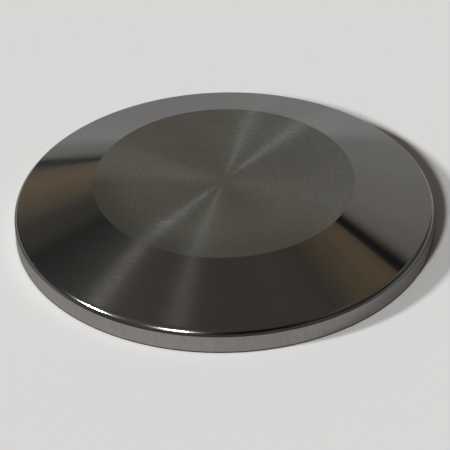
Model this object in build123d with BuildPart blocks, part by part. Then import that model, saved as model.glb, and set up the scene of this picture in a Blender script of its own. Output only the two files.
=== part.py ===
from build123d import *
from math import radians, tan
import os

# Sanitary clamp end cap, turned from one piece of bar.
# Millimetres. The sealing face lies on z = 0, and +Z runs along the axis to the outer face.

# Driving dimensions
flange_diameter = 50.4      # across the rim wall
overall_thickness = 6.35    # sealing face to outer face
rim_thickness = 2.87        # sealing face to the corner where the rim wall and the shoulder meet
shoulder_angle = 20.0       # degrees, slope of the shoulder that the clamp draws down on
rim_edge_radius = 0.8       # round between the rim wall and the shoulder
foot_edge_radius = 0.2      # round at the foot of the rim wall
outer_edge_radius = 0.15    # round between the shoulder and the outer face
groove_inset = 3.4          # rim wall to the middle of the gasket groove
groove_radius = 1.6         # half-round groove for the gasket's bead
groove_lip_radius = 0.15    # round on each lip of the groove

# Sizes that follow
flange_radius = flange_diameter / 2
shoulder_run = (overall_thickness - rim_thickness) / tan(radians(shoulder_angle))
outer_face_radius = flange_radius - shoulder_run
groove_centre_radius = flange_radius - groove_inset

# The half section stands on the XZ plane with its inner side on the axis
with BuildPart() as end_cap:
    with BuildSketch(Plane.XZ) as half_section:
        with BuildLine():
            Polyline(
                (0, 0),
                (flange_radius, 0),
                (flange_radius, rim_thickness),
                (outer_face_radius, overall_thickness),
                (0, overall_thickness),
                close=True,
            )
        make_face()

        foot_corner, rim_corner = half_section.vertices().group_by(Axis.X)[-1].sort_by(Axis.Y)
        outer_corner = half_section.vertices().group_by(Axis.Y)[-1].sort_by(Axis.X)[-1]
        fillet(rim_corner, radius=rim_edge_radius)
        fillet(foot_corner, radius=foot_edge_radius)
        fillet(outer_corner, radius=outer_edge_radius)

        # The gasket's bead seats in a half-round groove cut into the sealing face
        with Locations((groove_centre_radius, 0)):
            Circle(groove_radius, mode=Mode.SUBTRACT)
        groove_lips = half_section.vertices().group_by(Axis.Y)[0].sort_by(Axis.X)[1:3]
        fillet(groove_lips, radius=groove_lip_radius)
    revolve(axis=Axis.Z)

end_cap.part.label = "end_cap"

os.makedirs("parts", exist_ok=True)
export_step(end_cap.part, "parts/end_cap.step")
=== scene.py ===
import bpy
from math import cos, pi, radians, sin
from mathutils import Matrix, Vector


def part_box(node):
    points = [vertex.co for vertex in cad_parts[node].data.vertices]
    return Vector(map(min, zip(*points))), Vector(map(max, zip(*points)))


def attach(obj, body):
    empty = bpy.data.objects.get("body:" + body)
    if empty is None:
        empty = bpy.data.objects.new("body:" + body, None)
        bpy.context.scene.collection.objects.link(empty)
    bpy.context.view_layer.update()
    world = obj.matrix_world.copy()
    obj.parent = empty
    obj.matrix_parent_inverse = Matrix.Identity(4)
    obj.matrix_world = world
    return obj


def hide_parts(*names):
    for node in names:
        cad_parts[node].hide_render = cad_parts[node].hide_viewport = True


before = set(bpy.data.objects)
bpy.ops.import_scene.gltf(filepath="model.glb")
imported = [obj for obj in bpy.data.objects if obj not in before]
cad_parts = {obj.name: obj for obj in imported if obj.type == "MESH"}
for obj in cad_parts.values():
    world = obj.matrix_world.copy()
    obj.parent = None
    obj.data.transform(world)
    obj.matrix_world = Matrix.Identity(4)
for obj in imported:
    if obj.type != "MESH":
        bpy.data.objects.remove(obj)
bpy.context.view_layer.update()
capLow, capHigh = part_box("end_cap")


def opaque(colour):
    return (*colour, 1)


class Wire:  # one output socket, so that maths on it reads as maths
    def __init__(self, tree, socket):
        self.tree = tree
        self.socket = socket

    def math(self, operation, *others):
        values = dict(enumerate((self, *others)))
        return self.tree.node("ShaderNodeMath", {"operation": operation}, values)

    def ramp(self, low, high):  # 0 below low, 1 above high, smooth between
        settings = {"clamp": True, "interpolation_type": "SMOOTHSTEP"}
        rampIn = {"Value": self, "From Min": low, "From Max": high}
        return self.tree.node("ShaderNodeMapRange", settings, rampIn, "Result")

    def fall(self, low, high):  # 1 below low, 0 above high, smooth between
        return 1 - self.ramp(low, high)

    def __neg__(self):
        return self.math("MULTIPLY", -1)

    def __add__(self, other):
        return self.math("ADD", other)

    def __radd__(self, other):
        return self.math("ADD", other)

    def __sub__(self, other):
        return self.math("SUBTRACT", other)

    def __rsub__(self, other):
        return self.tree.node("ShaderNodeMath", {"operation": "SUBTRACT"}, {0: other, 1: self})

    def __mul__(self, other):
        return self.math("MULTIPLY", other)

    def __rmul__(self, other):
        return self.math("MULTIPLY", other)

    def __truediv__(self, other):
        return self.math("DIVIDE", other)

    def __gt__(self, other):
        return self.math("GREATER_THAN", other)

    def __lt__(self, other):
        return self.math("LESS_THAN", other)


class Tree:  # a node tree of any kind, with one way to add a node
    def __init__(self, nodeTree):
        self.nodeTree = nodeTree

    def node(self, kind, settings=None, sockets=None, output=0):
        made = self.nodeTree.nodes.new(kind)
        for name, value in (settings or {}).items():
            if name == "stops":
                self.setStops(made.color_ramp, value)
            elif name == "items":
                for _ in range(value - len(made.index_switch_items)):
                    made.index_switch_items.new()
            else:
                setattr(made, name, value)
        self.feed(made, sockets or {})
        return Wire(self, self.find(made.outputs, output))

    def feed(self, made, sockets):  # a wire is linked, anything else is the socket's own value
        for name, value in sockets.items():
            target = self.find(made.inputs, name)
            if isinstance(value, Wire):
                self.nodeTree.links.new(value.socket, target)
            else:
                target.default_value = value

    def find(self, sockets, name):
        if isinstance(name, int):
            return sockets[name]
        return next(s for s in sockets if name in (s.identifier, s.name) and s.enabled)

    def setStops(self, ramp, stops):
        while len(ramp.elements) < len(stops):
            ramp.elements.new(0.5)
        for element, (place, colour) in zip(ramp.elements, stops):
            element.position = place
            element.color = opaque(colour)

    def part(self, vector, axis):
        return self.node("ShaderNodeSeparateXYZ", None, {"Vector": vector}, axis)

    def vectors(self, operation, first, second, output="Vector"):
        return self.node("ShaderNodeVectorMath", {"operation": operation}, {0: first, 1: second}, output)

    def scaled(self, vector, scale):
        scaleIn = {0: vector, "Scale": scale}
        return self.node("ShaderNodeVectorMath", {"operation": "SCALE"}, scaleIn, "Vector")

    def colourAt(self, value, stops):
        return self.node("ShaderNodeValToRGB", {"stops": stops}, {"Fac": value}, "Color")

    def noise(self, place, scale, detail, roughness):  # uneven, round 0
        noiseIn = {"Vector": place, "Scale": scale, "Detail": detail, "Roughness": roughness}
        return self.node("ShaderNodeTexNoise", {"noise_dimensions": "3D"}, noiseIn, "Fac") - 0.5

    def mixColour(self, factor, first, second):  # each colour is a wire or three numbers
        first, second = (c if isinstance(c, Wire) else opaque(c) for c in (first, second))
        mixIn = {"Factor_Float": factor, "A_Color": first, "B_Color": second}
        return self.node("ShaderNodeMix", {"data_type": "RGBA"}, mixIn, "Result_Color")


capShape = {
    "flangeRadius": (capHigh.x - capLow.x) / 2,
    "thickness": capHigh.z - capLow.z,
    "rimThickness": 0.00287,  # sealing face to where rim wall and shoulder would meet
    "shoulderAngle": radians(20),
    "outerEdgeRadius": 0.00015,
    "rimEdgeRadius": 0.0008,
    "footEdgeRadius": 0.0002,
    "grooveInset": 0.0034,  # rim wall to the middle of the gasket groove
    "grooveRadius": 0.0016,
    "grooveLipRadius": 0.00015,
}
capSteps = {"around": 288, "perRound": 8}
zoneLimits = {"upward": 0.05, "outward": 0.99}  # the wall points less upward and lies farther out


def sectionCorners(size):  # (radius, height, round) of each corner, from the top's middle to the foot's
    drop = size["thickness"] - size["rimThickness"]
    faceRadius = size["flangeRadius"] - drop / size["shoulderAngle"].math("TANGENT")
    grooveCentre = size["flangeRadius"] - size["grooveInset"]
    grooveOuter = grooveCentre + size["grooveRadius"]
    grooveInner = grooveCentre - size["grooveRadius"]
    grooveRound = size["grooveRadius"] - size["grooveLipRadius"]
    return [
        (0, size["thickness"], 0),
        (faceRadius, size["thickness"], size["outerEdgeRadius"]),
        (size["flangeRadius"], size["rimThickness"], size["rimEdgeRadius"]),
        (size["flangeRadius"], 0, size["footEdgeRadius"]),
        (grooveOuter, 0, size["grooveLipRadius"]),
        (grooveOuter, size["grooveRadius"], grooveRound),
        (grooveInner, size["grooveRadius"], grooveRound),
        (grooveInner, 0, size["grooveLipRadius"]),
        (0, 0, 0),
    ], faceRadius


def filletedSection(tree, size, index, corners):
    places = {"Index": index}
    rounds = {"Index": index}
    for k, (radius, height, cornerRound) in enumerate(corners):
        places[f"Item_{k}"] = tree.node("ShaderNodeCombineXYZ", None, {"X": radius, "Z": height})
        rounds[f"Item_{k}"] = cornerRound
    count = len(corners)
    place = tree.node("GeometryNodeIndexSwitch", {"data_type": "VECTOR", "items": count}, places)
    rounding = tree.node("GeometryNodeIndexSwitch", {"data_type": "FLOAT", "items": count}, rounds)
    line = tree.node("GeometryNodeMeshLine", None, {"Count": count})
    line = tree.node("GeometryNodeSetPosition", None, {"Geometry": line, "Position": place})
    section = tree.node("GeometryNodeMeshToCurve", None, {"Mesh": line})
    filletIn = {"Curve": section, "Count": size["perRound"], "Radius": rounding}
    return tree.node("GeometryNodeFilletCurve", {"mode": "POLY"}, filletIn)


def rolledUp(tree, size, index, section):  # a sheet with a row for each point, rolled round the axis
    rows = tree.node("GeometryNodeAttributeDomainSize", {"component": "CURVE"}, {"Geometry": section})
    sheetIn = {"Vertices X": size["around"] + 1, "Vertices Y": rows}
    sheet = tree.node("GeometryNodeMeshGrid", None, sheetIn)
    sampleIn = {
        "Geometry": section,
        "Value": tree.node("GeometryNodeInputPosition"),
        "Index": index.math("MODULO", rows),
    }
    point = tree.node("GeometryNodeSampleIndex", {"data_type": "FLOAT_VECTOR"}, sampleIn)
    turn = (index / rows).math("FLOOR") * (2 * pi) / size["around"]
    radius = tree.part(point, "X")
    rolledIn = {
        "X": radius * turn.math("COSINE"),
        "Y": -(radius * turn.math("SINE")),  # this way round, the faces point outwards
        "Z": tree.part(point, "Z"),
    }
    rolled = tree.node("ShaderNodeCombineXYZ", None, rolledIn)
    cap = tree.node("GeometryNodeSetPosition", None, {"Geometry": sheet, "Position": rolled})
    cap = tree.node("GeometryNodeMergeByDistance", None, {"Geometry": cap, "Distance": 1e-7})
    return tree.node("GeometryNodeSetShadeSmooth", None, {"Geometry": cap})


def finishZones(tree, size, faceRadius):  # where each finish lies, a later one over an earlier
    upward = tree.part(tree.node("GeometryNodeInputNormal"), "Z")
    middle = tree.vectors("MULTIPLY", tree.node("GeometryNodeInputPosition"), (1, 1, 0))
    outward = tree.node("ShaderNodeVectorMath", {"operation": "LENGTH"}, {0: middle}, "Value")
    onTop = upward > zoneLimits["upward"]
    upright = upward.math("ABSOLUTE") < zoneLimits["upward"]
    return {
        "lappedUnderside": 1,
        "polishedShoulder": onTop,
        "turnedFace": onTop * (outward < faceRadius),
        "roundedEdge": onTop * (outward > size["flangeRadius"] - size["rimEdgeRadius"]),
        "brushedRim": upright * (outward > size["flangeRadius"] * zoneLimits["outward"]),
    }


def turnedCapTree(finishes):
    group = bpy.data.node_groups.new("turnedCap", "GeometryNodeTree")
    group.interface.new_socket("Geometry", in_out="OUTPUT", socket_type="NodeSocketGeometry")
    for name in capShape:
        group.interface.new_socket(name, in_out="INPUT", socket_type="NodeSocketFloat")
    for name in capSteps:
        group.interface.new_socket(name, in_out="INPUT", socket_type="NodeSocketInt")
    tree = Tree(group)
    inputs = group.nodes.new("NodeGroupInput")
    size = {name: Wire(tree, inputs.outputs[name]) for name in (*capShape, *capSteps)}
    index = tree.node("GeometryNodeInputIndex")
    corners, faceRadius = sectionCorners(size)
    section = filletedSection(tree, size, index, corners)
    cap = rolledUp(tree, size, index, section)
    cap = tree.node("GeometryNodeRealizeInstances", None, {"Geometry": cap})
    for name, zone in finishZones(tree, size, faceRadius).items():
        setIn = {"Geometry": cap, "Selection": zone, "Material": finishes[name]}
        cap = tree.node("GeometryNodeSetMaterial", None, setIn)
    tree.feed(group.nodes.new("NodeGroupOutput"), {"Geometry": cap})
    return group


def makeTurnedCap(finishes):
    group = turnedCapTree(finishes)
    blank = bpy.data.meshes.new("capBlank")
    cap = bpy.data.objects.new("turned_end_cap", blank)
    bpy.context.scene.collection.objects.link(cap)
    turning = cap.modifiers.new("turning", "NODES")
    turning.node_group = group
    for item in group.interface.items_tree:
        if item.in_out == "INPUT":
            turning[item.identifier] = {**capShape, **capSteps}[item.name]
    normals = cap.modifiers.new("normals", "WEIGHTED_NORMAL")
    normals.keep_sharp = True
    depsgraph = bpy.context.evaluated_depsgraph_get()
    mesh = bpy.data.meshes.new_from_object(cap.evaluated_get(depsgraph), depsgraph=depsgraph)
    mesh.name = "turned_end_cap"
    cap.modifiers.clear()
    cap.data = mesh
    bpy.data.meshes.remove(blank)
    return cap


steel = {
    "dark": (0.32, 0.315, 0.308),
    "light": (0.40, 0.394, 0.387),
    "edgeTint": (0.45, 0.45, 0.46),  # how bright it stays at a glancing angle
}


def newFinish(name):
    material = bpy.data.materials.new(name)
    material.use_nodes = True
    material.node_tree.nodes.clear()
    material.diffuse_color = opaque(steel["light"])
    tree = Tree(material.node_tree)
    return material, tree, TurnedPlace(tree)


def brushedSteel(tree, name, roughness, anisotropic, surface):  # light spreads across the turning lines
    constants = {
        "Specular Tint": opaque(steel["edgeTint"]),
        "Metallic": 1,
        "Roughness": roughness,
        "Anisotropic": anisotropic,
        "Anisotropic Rotation": 0.25,
    }
    shader = tree.node("ShaderNodeBsdfPrincipled", {"label": name}, constants, "BSDF")
    tree.feed(shader.socket.node, surface)
    return shader


def markedSteel(tree, name, finish, marks, colour):
    surface = {
        "Base Color": colour,
        "Roughness": marked(finish["roughness"], finish["rough"], marks),
        "Normal": bumped(tree, marked(0, finish["lines"], marks), finish["lineDepth"]),
    }
    return brushedSteel(tree, name, finish["roughness"], finish["anisotropic"], surface)


def showFinish(tree, shader):
    tree.feed(tree.nodeTree.nodes.new("ShaderNodeOutputMaterial"), {"Surface": shader})


def marked(base, weights, marks):  # base, raised and lowered by each kind of mark by its weight
    for name, weight in weights.items():
        base = marks[name] * weight + base
    return base


def bumped(tree, height, metres):
    bumpIn = {"Height": height, "Strength": 1.0, "Distance": metres}
    return tree.node("ShaderNodeBump", None, bumpIn, "Normal")


marking = {
    "ringRoughness": 0.65,
    "arcNoise": (3, 0.6),  # detail and roughness
    "patchNoise": (4, 0.55),
    "hairlineNoise": (1, 0.4),
    "hairlineStretch": (60, 1500, 60),
    "hairlinePatches": (9, 0.02, 0.12),  # size, and where in them a hairline starts and is full
    "markCore": 0.6,  # share of a mark's size that is at full strength
}


class TurnedPlace:  # where a point is on the turned metal, in millimetres, and the marks there
    def __init__(self, tree):
        self.tree = tree
        self.here = tree.node("ShaderNodeTexCoord", None, None, "Object")
        self.x, self.y, self.z = (tree.part(self.here, axis) * 1000 for axis in "XYZ")
        self.radius = (self.x * self.x + self.y * self.y).math("SQRT")
        self.across = self.radius - self.z  # grows all the way from the face's middle to the foot

    def rings(self, pitch, detail):  # uneven turning lines, one value for each distance from the axis
        noiseIn = {
            "W": self.across / pitch,
            "Scale": 1,
            "Detail": detail,
            "Roughness": marking["ringRoughness"],
        }
        return self.tree.node("ShaderNodeTexNoise", {"noise_dimensions": "1D"}, noiseIn, "Fac") - 0.5

    def arcs(self, pitch, length):  # short strokes that follow the turning lines
        placeIn = {
            "X": self.across / pitch,
            "Y": self.x / self.radius * (1 / length),
            "Z": self.y / self.radius * (1 / length),
        }
        place = self.tree.node("ShaderNodeCombineXYZ", None, placeIn)
        return self.tree.noise(place, 1, *marking["arcNoise"])

    def patches(self, size):  # broad cloudy unevenness from handling and wiping
        return self.tree.noise(self.here, 1000 / size, *marking["patchNoise"])

    def hairlines(self, turn, width):  # thin straight scratches, here and there, 1 along their middle
        mapIn = {"Vector": self.here, "Rotation": (0, 0, turn), "Scale": marking["hairlineStretch"]}
        place = self.tree.node("ShaderNodeMapping", {"vector_type": "POINT"}, mapIn)
        line = self.tree.noise(place, 1, *marking["hairlineNoise"]).math("ABSOLUTE").fall(0, width)
        size, start, full = marking["hairlinePatches"]
        return line * self.patches(size).ramp(start, full)

    def mark(self, angle, radius, size, stretch):  # a nick or speck, longer round the axis by stretch
        a = radians(angle)
        outward = self.x * sin(a) - self.y * cos(a) - radius
        sideways = (self.x * cos(a) + self.y * sin(a)) / stretch
        away = (outward * outward + sideways * sideways).math("SQRT")
        return away.fall(size * marking["markCore"], size)


faceFinish = {
    "dark": (0.304, 0.299, 0.293),
    "light": (0.416, 0.41, 0.402),
    "paintedFrontShade": (0.24, 0.237, 0.23),  # painted shade: the front of the face painted darker, most of all on the left, standing in for a darker reflection there
    "paintedFrontShadeShare": 0.45,
    "paintedFrontShadeFrom": (10, 15.5),
    "paintedFrontShadeLeft": (0, 8),  # the painted shade grows twice as strong over this stretch on the left
    "paintedFrontShadeRight": (9, 13.5),  # fades out over this one on the right
    "paintedFrontShadeBack": (0, 5),  # and over this one towards the back
    "paintedLeftHighlight": (0.48, 0.49, 0.50),  # painted highlight: a lighter wedge on the left, standing in for a brighter reflection there
    "paintedLeftHighlightShare": 0.4,
    "paintedLeftHighlightTowards": (-0.951, 0.309),
    "paintedLeftHighlightSpread": (0.93, 0.998),
    "paintedLeftHighlightFrom": (1, 5),
    "middle": (0.5, 4),  # a little smoother inside this
    "roughness": 0.19,
    "anisotropic": 1.0,
    "rings": (0.22, 4),
    "arcs": (0.16, 0.07),
    "patches": 7,
    "scratches": ((0.5, 0.012), (-1.1, 0.008)),
    "tone": {"rings": 0.9, "arcs": 2.2, "patches": 0.9, "scratches": 0.25},
    "rough": {"rings": 0.06, "arcs": 0.05, "scratches": 0.04, "middle": -0.05},
    "lines": {"rings": 1, "arcs": 0.6},
    "lineDepth": 3e-7,
}


def makeTurnedFace():
    material, tree, place = newFinish("turnedFace")
    first, second = (place.hairlines(*scratch) for scratch in faceFinish["scratches"])
    marks = {
        "rings": place.rings(*faceFinish["rings"]),
        "arcs": place.arcs(*faceFinish["arcs"]),
        "patches": place.patches(faceFinish["patches"]),
        "scratches": first.math("MAXIMUM", second),
        "middle": place.radius.fall(*faceFinish["middle"]),
    }
    colour = tree.mixColour(marked(0.5, faceFinish["tone"], marks), faceFinish["dark"], faceFinish["light"])
    # painted shade: the front of the face darker, more on the left, less on the right and towards the back
    reach = 1 + (-place.x).ramp(*faceFinish["paintedFrontShadeLeft"]) - place.x.ramp(*faceFinish["paintedFrontShadeRight"])
    paintedFrontShade = place.radius.ramp(*faceFinish["paintedFrontShadeFrom"]) * place.y.fall(*faceFinish["paintedFrontShadeBack"]) * reach
    colour = tree.mixColour(paintedFrontShade * faceFinish["paintedFrontShadeShare"], colour, faceFinish["paintedFrontShade"])
    # painted highlight: a lighter wedge on the left of the face
    towardsX, towardsY = faceFinish["paintedLeftHighlightTowards"]
    paintedLeftHighlight = (place.x * towardsX + place.y * towardsY) / (place.radius + 0.01)  # never a division by 0
    paintedLeftHighlight = paintedLeftHighlight.ramp(*faceFinish["paintedLeftHighlightSpread"]) * place.radius.ramp(*faceFinish["paintedLeftHighlightFrom"])
    colour = tree.mixColour(paintedLeftHighlight * faceFinish["paintedLeftHighlightShare"], colour, faceFinish["paintedLeftHighlight"])
    showFinish(tree, markedSteel(tree, "turned", faceFinish, marks, colour))
    return material


shoulderFinish = {  # a mirror polish seen through fine turning lines
    "polish": 0.035,
    "grain": 0.36,
    "grainShare": 0.045,
    "grainDark": (0.33, 0.315, 0.28),
    "grainLight": (0.42, 0.405, 0.365),
    "anisotropic": 1.0,
    "rings": (0.3, 3),
    "arcs": (0.11, 0.07),
    "patches": 6,
    "scratches": (0.9, 0.004),
    "scratchShare": 0.4,
    "specks": {  # angle from the front, distance from the axis, size, stretch
        "lightSpeck": (-73.5, 22.8, 0.14, 1.0),
        "nearSpeck": (-57.5, 20.6, 0.16, 1.3),
        "farSpeck": (-53.5, 21.2, 0.12, 1.0),
        "shortScratch": (15.0, 22.3, 0.10, 6.0),
    },
    "tone": {"rings": 0.5, "arcs": 0.7, "patches": 0.5},
    "rough": {"patches": 0.02},
    "grainy": {"rings": 0.7, "arcs": 1.1},
    "wearGrain": 0.45,
    "lines": {"rings": 1, "arcs": 0.4, "wear": -2},
    "lineDepth": 4e-8,
}


def makePolishedShoulder():
    material, tree, place = newFinish("polishedShoulder")
    wear = place.hairlines(*shoulderFinish["scratches"]) * shoulderFinish["scratchShare"]
    for speck in shoulderFinish["specks"].values():
        wear = wear.math("MAXIMUM", place.mark(*speck))
    marks = {
        "rings": place.rings(*shoulderFinish["rings"]),
        "arcs": place.arcs(*shoulderFinish["arcs"]),
        "patches": place.patches(shoulderFinish["patches"]),
        "wear": wear,
    }
    tone = marked(0.5, shoulderFinish["tone"], marks)
    normal = bumped(tree, marked(0, shoulderFinish["lines"], marks), shoulderFinish["lineDepth"])
    polishRoughness = shoulderFinish["polish"]
    polishSurface = {
        "Base Color": tree.mixColour(tone, steel["dark"], steel["light"]),
        "Roughness": marked(polishRoughness, shoulderFinish["rough"], marks),
        "Normal": normal,
    }
    grainSurface = {
        "Base Color": tree.mixColour(tone, shoulderFinish["grainDark"], shoulderFinish["grainLight"]),
        "Normal": normal,
    }
    anisotropic = shoulderFinish["anisotropic"]
    polish = brushedSteel(tree, "polish", polishRoughness, anisotropic, polishSurface)
    grain = brushedSteel(tree, "grain", shoulderFinish["grain"], anisotropic, grainSurface)
    share = marked(1, shoulderFinish["grainy"], marks) * shoulderFinish["grainShare"]
    share = share + wear * shoulderFinish["wearGrain"]
    showFinish(tree, tree.node("ShaderNodeMixShader", None, {0: share, 1: polish, 2: grain}))
    return material


roundFinish = {
    "roughness": 0.145,
    "anisotropic": 0.4,
    "line": (0.05, 0.048, 0.046),  # painted dark reflection: a dark band just above the wall, standing in for the dim room mirrored there
    "paintedDarkBandFade": (2.56, 2.72),
    "paintedDarkBandWaver": 0.06,
    "sideRise": (10, 18, 0.15),  # the painted dark band is higher at the sides
    "sideFade": (14, 22, 0.28),  # and fainter
    "nick": (-63.5, 25.0, 0.13, 1.5),
    "arcs": (0.1, 0.05),
    "patches": 3,
    "tone": {"arcs": 0.8, "patches": 0.6},
    "rough": {"arcs": 0.05, "nick": 0.15},
    "lines": {"arcs": 1, "nick": -40},
    "lineDepth": 2e-7,
}


def makeRoundedEdge():
    material, tree, place = newFinish("roundedEdge")
    marks = {
        "arcs": place.arcs(*roundFinish["arcs"]),
        "patches": place.patches(roundFinish["patches"]),
        "nick": place.mark(*roundFinish["nick"]),
    }
    # painted dark reflection: a dark band just above the wall, higher and fainter at the sides
    sideways = place.x.math("ABSOLUTE")
    near, far, rise = roundFinish["sideRise"]
    height = place.z + marks["patches"] * roundFinish["paintedDarkBandWaver"] - sideways.ramp(near, far) * rise
    near, far, fade = roundFinish["sideFade"]
    inPaintedDarkBand = height.fall(*roundFinish["paintedDarkBandFade"]) * (1 - sideways.ramp(near, far) * fade)
    colour = tree.mixColour(marked(0.5, roundFinish["tone"], marks), steel["dark"], steel["light"])
    colour = tree.mixColour(inPaintedDarkBand, colour, roundFinish["line"])
    showFinish(tree, markedSteel(tree, "rounded", roundFinish, marks, colour))
    return material


rimFinish = {
    "dark": (0.23, 0.217, 0.206),
    "light": (0.305, 0.29, 0.276),
    "paintedLeftLight": (0.40, 0.385, 0.37),  # painted light: the left end of the wall painted brighter, as if lit more from the left
    "paintedLeftLightFrom": (15, 25),
    "paintedLeftLightShare": 0.65,
    # painted shade: a dark band along the foot of the wall, standing in for the floor's contact shadow
    # mirrored there
    "base": (0.06, 0.057, 0.054),
    "paintedFootShadeFade": (0.2, 0.32),
    "roughness": 0.38,
    "anisotropic": 0.4,
    "rings": (0.25, 3),
    "arcs": (0.07, 0.05),
    "chatter": (1.6, 0.012),
    "patches": 4,
    "tone": {"arcs": 1.2, "chatter": 1.2, "patches": 0.8},
    "rough": {"arcs": 0.14, "patches": 0.06},
    "lines": {"arcs": 1, "rings": 0.5, "chatter": 0.5},
    "lineDepth": 6e-7,
}


def makeBrushedRim():
    material, tree, place = newFinish("brushedRim")
    marks = {
        "rings": place.rings(*rimFinish["rings"]),
        "arcs": place.arcs(*rimFinish["arcs"]),
        "chatter": place.arcs(*rimFinish["chatter"]),
        "patches": place.patches(rimFinish["patches"]),
    }
    colour = tree.mixColour(marked(0.5, rimFinish["tone"], marks), rimFinish["dark"], rimFinish["light"])
    # painted light: the left end of the wall lighter
    paintedLeftLight = (-place.x).ramp(*rimFinish["paintedLeftLightFrom"]) * rimFinish["paintedLeftLightShare"]
    colour = tree.mixColour(paintedLeftLight, colour, rimFinish["paintedLeftLight"])
    # painted shade: darker along the foot of the wall
    colour = tree.mixColour(place.z.fall(*rimFinish["paintedFootShadeFade"]), colour, rimFinish["base"])
    showFinish(tree, markedSteel(tree, "brushed", rimFinish, marks, colour))
    return material


undersideFinish = {
    "roughness": 0.25,
    "anisotropic": 0.9,
    "grooveFrom": (20.1, 20.25),
    "grooveTo": (23.35, 23.5),
    # painted shade from here outwards, as along the wall's foot
    "paintedFootShadeFrom": (24.98, 25.06),
    "rings": (0.18, 4),
    "arcs": (0.13, 0.1),
    "patches": 8,
    "scratches": (0.2, 0.01),
    "toneBase": 0.45,
    "tone": {"rings": 0.9, "arcs": 0.9, "patches": 0.5, "scratches": 0.3, "groove": -0.3},
    "rough": {"rings": 0.07, "scratches": 0.05, "groove": 0.08},
    "lines": {"rings": 1, "arcs": 0.5},
    "lineDepth": 2e-7,
}


def makeLappedUnderside():
    material, tree, place = newFinish("lappedUnderside")
    inward = place.radius.fall(*undersideFinish["grooveTo"])
    marks = {
        "rings": place.rings(*undersideFinish["rings"]),
        "arcs": place.arcs(*undersideFinish["arcs"]),
        "patches": place.patches(undersideFinish["patches"]),
        "scratches": place.hairlines(*undersideFinish["scratches"]),
        "groove": place.radius.ramp(*undersideFinish["grooveFrom"]) * inward,
    }
    tone = marked(undersideFinish["toneBase"], undersideFinish["tone"], marks)
    colour = tree.mixColour(tone, steel["dark"], steel["light"])
    # painted shade: the outer edge of the underside darker, as along the wall's foot
    inPaintedFootShade = place.radius.ramp(*undersideFinish["paintedFootShadeFrom"])
    colour = tree.mixColour(inPaintedFootShade, colour, rimFinish["base"])
    showFinish(tree, markedSteel(tree, "lapped", undersideFinish, marks, colour))
    return material


def makeFinishes():
    return {
        "turnedFace": makeTurnedFace(),
        "polishedShoulder": makePolishedShoulder(),
        "roundedEdge": makeRoundedEdge(),
        "brushedRim": makeBrushedRim(),
        "lappedUnderside": makeLappedUnderside(),
    }


floorSheet = {"radius": 3.4, "colour": (0.72, 0.72, 0.715)}


def makeFloor():
    bpy.ops.mesh.primitive_circle_add(vertices=128, radius=floorSheet["radius"], fill_type="NGON")
    floor = bpy.context.object
    floor.name = "floor"
    floor.location.z = capLow.z
    material = bpy.data.materials.new("paleFloor")
    material.use_nodes = True
    shader = material.node_tree.nodes["Principled BSDF"]
    shader.inputs["Base Color"].default_value = opaque(floorSheet["colour"])
    shader.inputs["Roughness"].default_value = 1
    shader.inputs["Specular IOR Level"].default_value = 0
    floor.data.materials.append(material)


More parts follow.
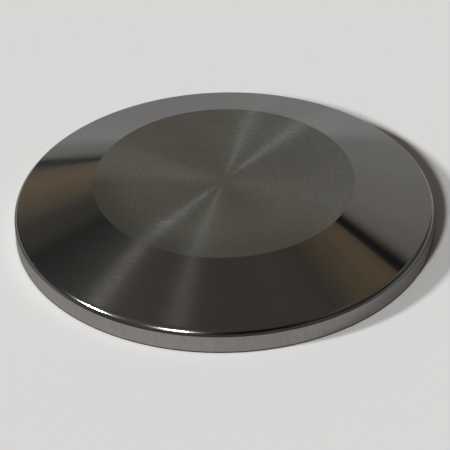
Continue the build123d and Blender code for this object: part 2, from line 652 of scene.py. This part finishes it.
room = {  # what the metal mirrors, above a low backdrop as pale as the floor
    "backdrop": (0.685, 0.685, 0.675),
    "backdropTop": (2.6, 7),
    "edgeNormal": (0.609, 0.296, -0.736),  # of the plane through the edge of a big pale sheet
    "bendBelow": 0.218,  # near the floor that edge turns upright
    "bend": 0.73,
    "bendLimit": 0.035,
    "leftStops": [  # from the dark room over a brown patch and the sheet's dark edge to the sheet
        (0.215, (0.0, 0.0, 0.0)),
        (0.24, (0.12, 0.11, 0.07)),
        (0.292, (0.20, 0.16, 0.13)),
        (0.347, (0.55, 0.45, 0.31)),
        (0.385, (0.73, 0.56, 0.39)),
        (0.405, (0.74, 0.57, 0.41)),
        (0.431, (0.62, 0.48, 0.34)),
        (0.4475, (0.50, 0.39, 0.29)),
        (0.4565, (0.14, 0.135, 0.12)),
        (0.461, (0.09, 0.09, 0.09)),
        (0.467, (0.45, 0.48, 0.45)),
        (0.475, (0.67, 0.70, 0.665)),
        (0.49, (0.79, 0.83, 0.785)),
        (0.54, (0.86, 0.88, 0.85)),
    ],
    "rightStops": [
        (0.315, (0.0, 0.0, 0.0)),
        (0.341, (0.24, 0.20, 0.12)),
        (0.369, (0.55, 0.41, 0.28)),
        (0.397, (0.71, 0.54, 0.36)),
        (0.424, (0.77, 0.57, 0.37)),
        (0.4435, (0.60, 0.46, 0.32)),
        (0.4505, (0.08, 0.08, 0.08)),
        (0.464, (0.04, 0.045, 0.05)),
        (0.472, (0.22, 0.22, 0.20)),
        (0.477, (0.42, 0.42, 0.37)),
        (0.488, (0.80, 0.76, 0.70)),
        (0.50, (1.0, 0.92, 0.85)),
        (0.53, (1.03, 0.94, 0.87)),
        (0.57, (1.02, 0.95, 0.87)),
        (0.61, (1.0, 0.97, 0.90)),
        (0.64, (1.0, 0.99, 0.94)),
        (0.67, (1.01, 1.01, 1.0)),
    ],
    "heightStops": [  # the sheet grows dimmer towards the ceiling
        (0.0, (0.61, 0.61, 0.605)),
        (0.07, (0.53, 0.53, 0.525)),
        (0.10, (0.50, 0.50, 0.495)),
        (0.16, (0.44, 0.44, 0.435)),
        (0.33, (0.355, 0.355, 0.35)),
        (0.54, (0.30, 0.30, 0.295)),
        (0.64, (0.262, 0.262, 0.255)),
        (0.8, (0.24, 0.24, 0.235)),
    ],
    "leftToRight": (-0.27, 0.3),
    "rightEnd": (32, 48, 0.75),  # azimuth from and to, and how much dimmer the sheet is there
    "farRight": (55, 100, 0.1),
    "rightEndTop": (0.5, 0.7),  # higher up it isn't dimmer
    "leftEnd": (31, 44, 0.9),
    "leftEndTop": (0.3, 0.48),
    "ceiling": (0.092, 0.083, 0.073),
    "ceilingFrom": (0.6, 0.95),
    "leftWall": (0.052, 0.053, 0.052),
    "leftWallFrom": (0.1, 0.6),
    "dimFrom": (0.2, 0.4),  # how far behind the sheet's edge the dim room starts
    "haze": 0.06,
    "hazeTop": (0.1, 0.5),
    "hazeFrom": (-0.3, -0.1),
    "hazeLeft": (0, 0.2),
    "panels": {  # azimuth from and to, elevation from and to, colour
        "lowPanel": (-12, 13, 15, 29, (0.44, 0.44, 0.435)),
        "tallPanel": (-7, 2, 27, 61, (0.19, 0.185, 0.14)),
        "sidePanel": (2, 29, 27, 40, (0.31, 0.31, 0.29)),
    },
    "panelEdge": 3,
}


def paleSheet(tree, x, z, azimuth, side):
    place = side * 0.5 + 0.5  # the stops' places run from 0 to 1
    left = tree.colourAt(place, room["leftStops"])
    right = tree.colourAt(place, room["rightStops"])
    sheet = tree.mixColour(x.ramp(*room["leftToRight"]), left, right)
    sheet = tree.vectors("MULTIPLY", sheet, tree.colourAt(z, room["heightStops"]))
    near, far, share = room["rightEnd"]
    rightDim = azimuth.ramp(near, far) * share
    near, far, share = room["farRight"]
    rightDim = (rightDim + azimuth.ramp(near, far) * share) * z.fall(*room["rightEndTop"])
    near, far, share = room["leftEnd"]
    leftDim = (-azimuth).ramp(near, far) * z.fall(*room["leftEndTop"]) * share
    return tree.scaled(sheet, 1 - rightDim - leftDim)


def dimRoom(tree, x, z, side):
    nothing = (0, 0, 0)
    ceiling = tree.mixColour(z.ramp(*room["ceilingFrom"]), nothing, room["ceiling"])
    leftWall = tree.mixColour((-x).ramp(*room["leftWallFrom"]), nothing, room["leftWall"])
    dim = tree.scaled(tree.vectors("ADD", ceiling, leftWall), (-side).ramp(*room["dimFrom"]))
    haze = z.fall(*room["hazeTop"]) * side.ramp(*room["hazeFrom"]) * (-x).ramp(*room["hazeLeft"])
    return tree.vectors("ADD", dim, haze * room["haze"])


def between(value, low, high, edge):
    return value.ramp(low - edge, low + edge) * value.fall(high - edge, high + edge)


def makeRoom():
    world = bpy.data.worlds.new("studioRoom")
    bpy.context.scene.world = world
    world.use_nodes = True
    world.node_tree.nodes.clear()
    tree = Tree(world.node_tree)
    direction = tree.node("ShaderNodeTexCoord", None, None, "Generated")
    x, y, z = (tree.part(direction, axis) for axis in "XYZ")
    azimuth = x.math("ARCTAN2", y) * (180 / pi)
    elevation = z.math("ARCSINE") * (180 / pi)
    bend = ((room["bendBelow"] - z) * room["bend"]).math("MAXIMUM", 0).math("MINIMUM", room["bendLimit"])
    side = tree.vectors("DOT_PRODUCT", direction, room["edgeNormal"], "Value") - bend
    sheet = paleSheet(tree, x, z, azimuth, side)
    colour = tree.vectors("ADD", sheet, dimRoom(tree, x, z, side))
    edge = room["panelEdge"]
    for left, right, foot, top, panelColour in room["panels"].values():
        mask = between(azimuth, left, right, edge) * between(elevation, foot, top, edge)
        colour = tree.mixColour(mask, colour, panelColour)
    colour = tree.mixColour(elevation.fall(*room["backdropTop"]), colour, room["backdrop"])
    background = tree.node("ShaderNodeBackground", None, {"Color": colour})
    tree.feed(world.node_tree.nodes.new("ShaderNodeOutputWorld"), {"Surface": background})


lamps = {
    "angle": radians(8),
    "strength": 2.45,
    "places": {"leftLamp": (-104, 33), "frontLamp": (-152, 33)},  # azimuth and elevation
}


def towards(azimuth, elevation):  # azimuth 0 is +Y and 90 is +X, both angles in degrees
    a = radians(azimuth)
    e = radians(elevation)
    return Vector((sin(a) * cos(e), cos(a) * cos(e), sin(e)))


def makeLamps():
    for name, (azimuth, elevation) in lamps["places"].items():
        light = bpy.data.lights.new(name, "SUN")
        light.energy = lamps["strength"]
        light.angle = lamps["angle"]
        lamp = bpy.data.objects.new(name, light)
        lamp.rotation_euler = towards(azimuth, elevation).to_track_quat("Z", "Y").to_euler()
        bpy.context.scene.collection.objects.link(lamp)


view = {
    "lens": 195.4,
    "sensor": 36,
    "clip": (0.01, 20),
    "distance": 0.2948,
    "elevation": radians(35.46),
    "roll": radians(1.37),
    "aside": 0.00002,
    "above": -0.000179,
}


def makeCamera():
    e = view["elevation"]
    back = Vector((0, -cos(e), sin(e)))
    right = Vector((1, 0, 0))
    up = Vector((0, sin(e), cos(e)))
    turnedRight = right * cos(view["roll"]) - up * sin(view["roll"])
    turnedUp = right * sin(view["roll"]) + up * cos(view["roll"])
    data = bpy.data.cameras.new("camera")
    data.lens = view["lens"]
    data.sensor_width = view["sensor"]
    data.clip_start, data.clip_end = view["clip"]
    camera = bpy.data.objects.new("camera", data)
    camera.matrix_world = Matrix((turnedRight, turnedUp, back)).transposed().to_4x4()
    camera.location = back * view["distance"] + right * view["aside"] + up * view["above"]
    bpy.context.scene.collection.objects.link(camera)
    bpy.context.scene.camera = camera


print("finishes")
finishes = makeFinishes()

print("turned cap")
turnedCap = makeTurnedCap(finishes)
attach(turnedCap, "root")
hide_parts("end_cap")

print("studio")
makeFloor()
makeRoom()
makeLamps()
makeCamera()
bpy.context.scene.view_settings.view_transform = "Standard"
